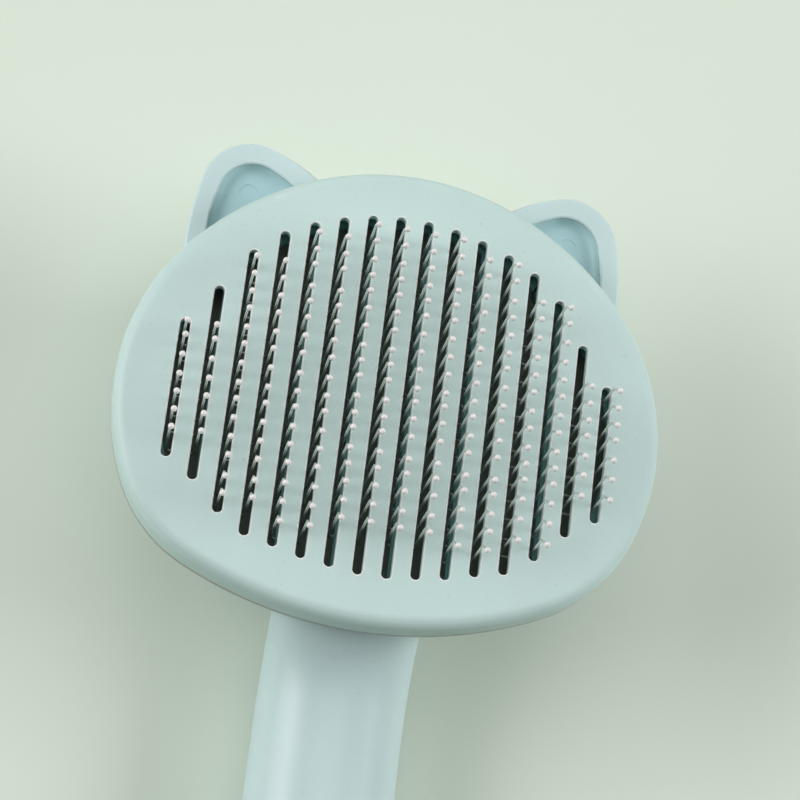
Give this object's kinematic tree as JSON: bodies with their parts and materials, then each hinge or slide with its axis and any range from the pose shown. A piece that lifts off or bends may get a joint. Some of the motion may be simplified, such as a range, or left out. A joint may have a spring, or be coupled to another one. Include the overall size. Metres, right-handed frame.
{
  "type": "slicker brush",
  "caption": "Self-cleaning slicker brush with a cat-eared head, ball-tipped wire pins, a slotted plate that a back button pushes forward, and a round handle.",
  "frame": {"origin": "under the middle of the brush's bounding box, on the surface that it lies on, back down and pins up", "axes": "+X across the head, +Y along the handle towards the ears, +Z out of the pin face"},
  "size_m": [0.1058, 0.1958, 0.064],
  "materials": {
    "shell_plastic": "moulded, fine matt texture",
    "plate_plastic": "moulded, fine matt texture",
    "inner_plastic": "moulded, plain",
    "button_plastic": "moulded, satin",
    "board_plastic": "moulded, plain",
    "pin_steel": "bright drawn wire",
    "tip_resin": "glossy dipped resin",
    "screw_steel": "zinc plated",
    "spring_steel": "drawn wire"
  },
  "bodies": {
    "housing": {"rear_shell": "shell_plastic", "handle_cover": "shell_plastic", "handle_screws": "screw_steel", "pin_board": "board_plastic", "pin_retainer": "inner_plastic", "board_screws": "screw_steel", "staple_row_1": "pin_steel", "staple_row_2": "pin_steel", "staple_row_3": "pin_steel", "staple_row_4": "pin_steel", "staple_row_5": "pin_steel", "staple_row_6": "pin_steel", "staple_row_7": "pin_steel", "staple_row_8": "pin_steel", "ball_tip_row_1": "tip_resin", "ball_tip_row_2": "tip_resin", "ball_tip_row_3": "tip_resin", "ball_tip_row_4": "tip_resin", "ball_tip_row_5": "tip_resin", "ball_tip_row_6": "tip_resin", "ball_tip_row_7": "tip_resin", "ball_tip_row_8": "tip_resin", "return_spring_1": "spring_steel", "return_spring_2": "spring_steel", "return_spring_3": "spring_steel", "return_spring_4": "spring_steel"},
    "ejector": {"face_plate": "plate_plastic", "push_frame": "inner_plastic", "plate_screws": "screw_steel", "button": "button_plastic", "button_screws": "screw_steel"}
  },
  "joints": [
    {"name": "eject", "type": "slide", "parent": "housing", "child": "ejector", "axis": [0, 0, 1], "range_m": [0, 0.0123], "stiffness_N_per_m": 500, "springref_m": -0.008, "deforming": ["return_spring_1", "return_spring_2", "return_spring_3", "return_spring_4"]}
  ]
}
